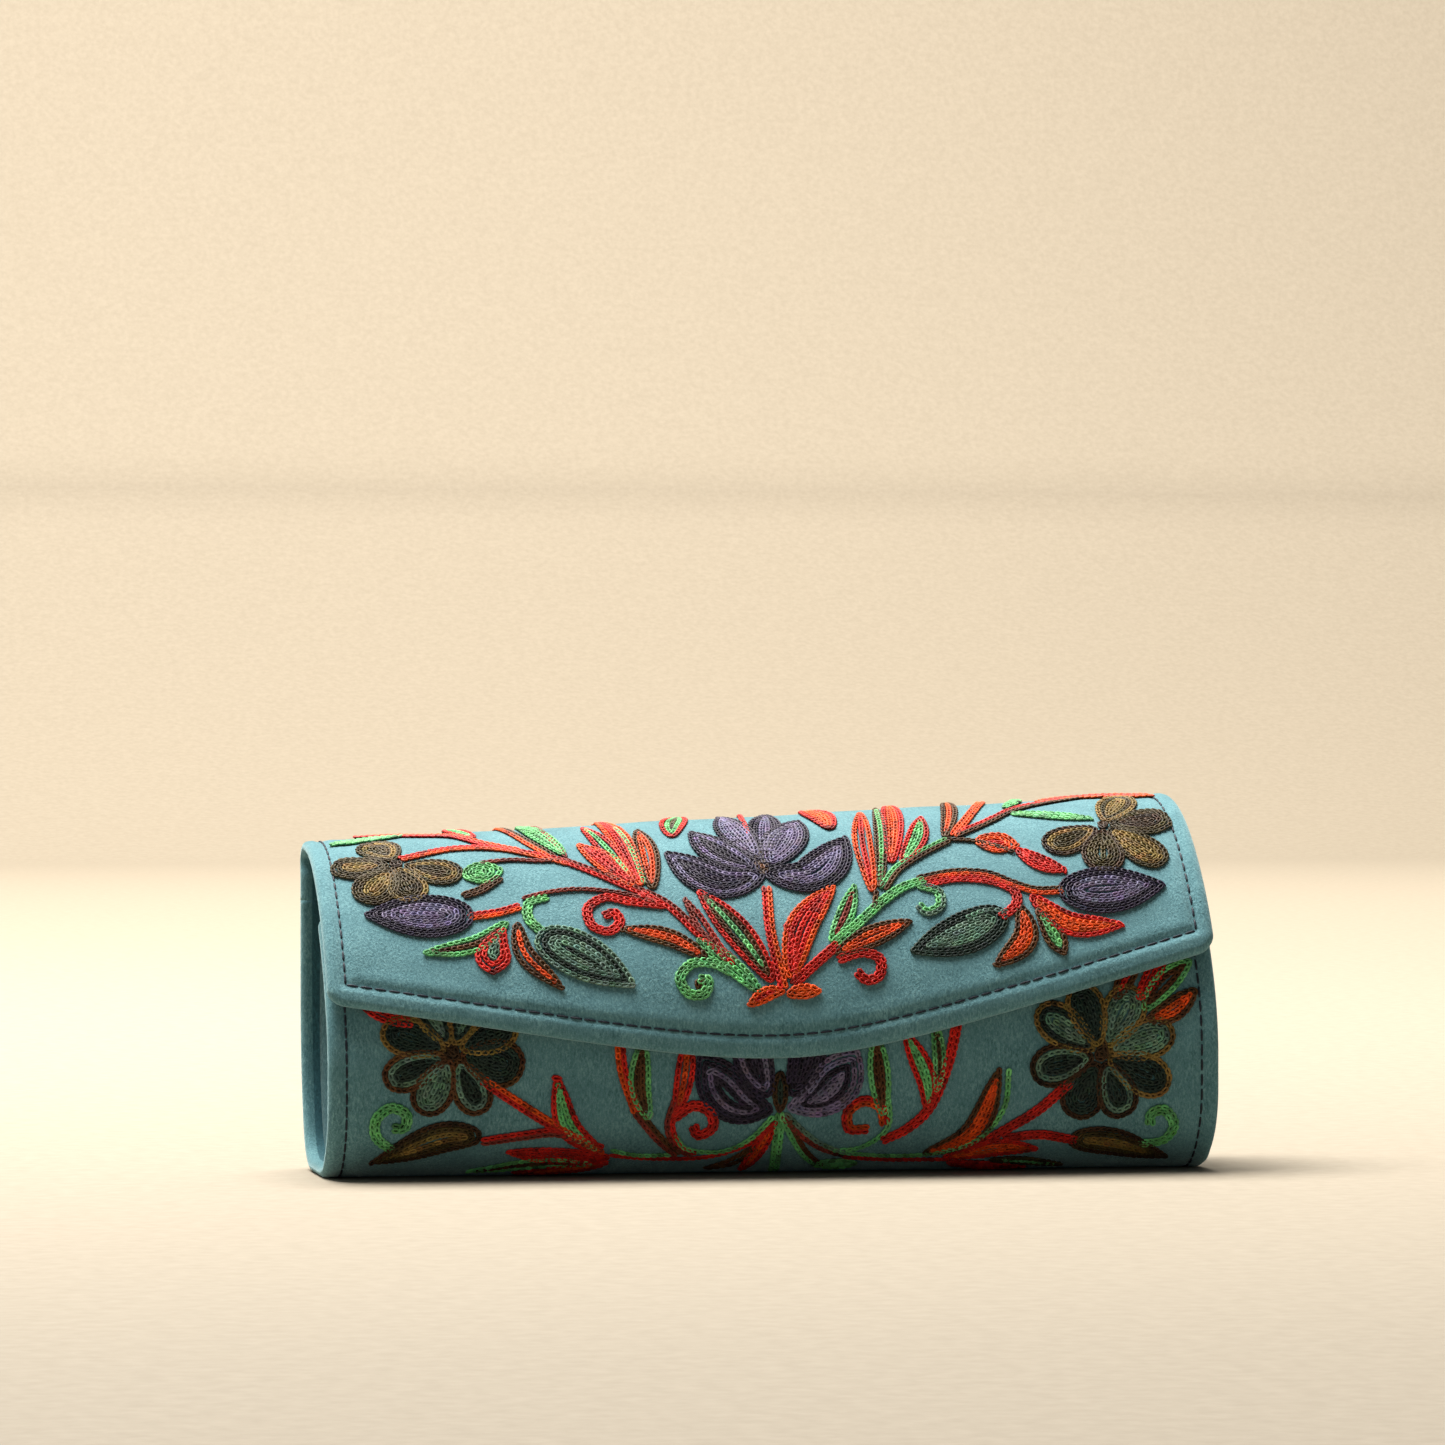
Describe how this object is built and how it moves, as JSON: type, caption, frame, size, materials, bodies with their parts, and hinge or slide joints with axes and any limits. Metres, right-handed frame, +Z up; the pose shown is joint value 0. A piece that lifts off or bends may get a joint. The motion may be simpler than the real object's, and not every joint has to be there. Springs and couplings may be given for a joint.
{
  "type": "glasses case",
  "caption": "Soft padded velvet case for spectacles, with pleated ends and a curved embroidered flap that folds over the front onto a hidden magnetic snap.",
  "frame": {"origin": "centre of the bounding box at the plane the case stands on", "axes": "+X along the case towards its taller end, -Y towards the front that the flap closes over, +Z up"},
  "size_m": [0.168, 0.0493, 0.0705],
  "materials": {
    "teal_velvet": "soft short-pile velvet",
    "lining_velvet": "short-pile velvet, a shade darker than the cover",
    "foam": "thin foam sheet",
    "board": "pressed paper board",
    "navy_thread": "twisted sewing thread",
    "red_thread": "chain stitch in red and orange thread",
    "green_thread": "chain stitch in light and dark green thread",
    "brown_thread": "chain stitch in brown, olive and gold thread",
    "purple_thread": "chain stitch in dark purple and lavender thread",
    "snap_steel": "plated sheet steel",
    "magnet": "lacquered magnet"
  },
  "bodies": {
    "shell": {"shell_cover": "teal_velvet", "shell_padding": "foam", "shell_board": "board", "shell_lining": "lining_velvet", "shell_stitching": "navy_thread", "left_gusset": "teal_velvet", "right_gusset": "teal_velvet", "shell_red_embroidery": "red_thread", "shell_green_embroidery": "green_thread", "shell_brown_embroidery": "brown_thread", "shell_purple_embroidery": "purple_thread"},
    "front": {"front_cover": "teal_velvet", "front_padding": "foam", "front_board": "board", "front_lining": "lining_velvet", "front_stitching": "navy_thread", "front_red_embroidery": "red_thread", "front_green_embroidery": "green_thread", "front_brown_embroidery": "brown_thread", "front_purple_embroidery": "purple_thread", "snap_stud": "snap_steel", "snap_stud_washer": "snap_steel"},
    "flap": {"flap_cover": "teal_velvet", "flap_padding": "foam", "flap_board": "board", "flap_lining": "lining_velvet", "flap_stitching": "navy_thread", "flap_red_embroidery": "red_thread", "flap_green_embroidery": "green_thread", "flap_brown_embroidery": "brown_thread", "flap_purple_embroidery": "purple_thread", "snap_socket": "snap_steel", "snap_magnet": "magnet", "snap_socket_washer": "snap_steel"}
  },
  "joints": [
    {"name": "flap_fold", "type": "hinge", "parent": "shell", "child": "flap", "pos_m": [0, 0.0248, 0.062], "axis": [-0.9988, 0, -0.0487], "range_deg": [0, 150]},
    {"name": "front_ease", "type": "hinge", "parent": "shell", "child": "front", "pos_m": [0, -0.01258, 0.00113], "axis": [1, 0, 0.0009], "range_deg": [0, 12], "deforming": ["left_gusset", "right_gusset"]}
  ],
  "couplings": [
    {"joint": "front_ease", "follows": "flap_fold", "ratio": 0.08}
  ]
}
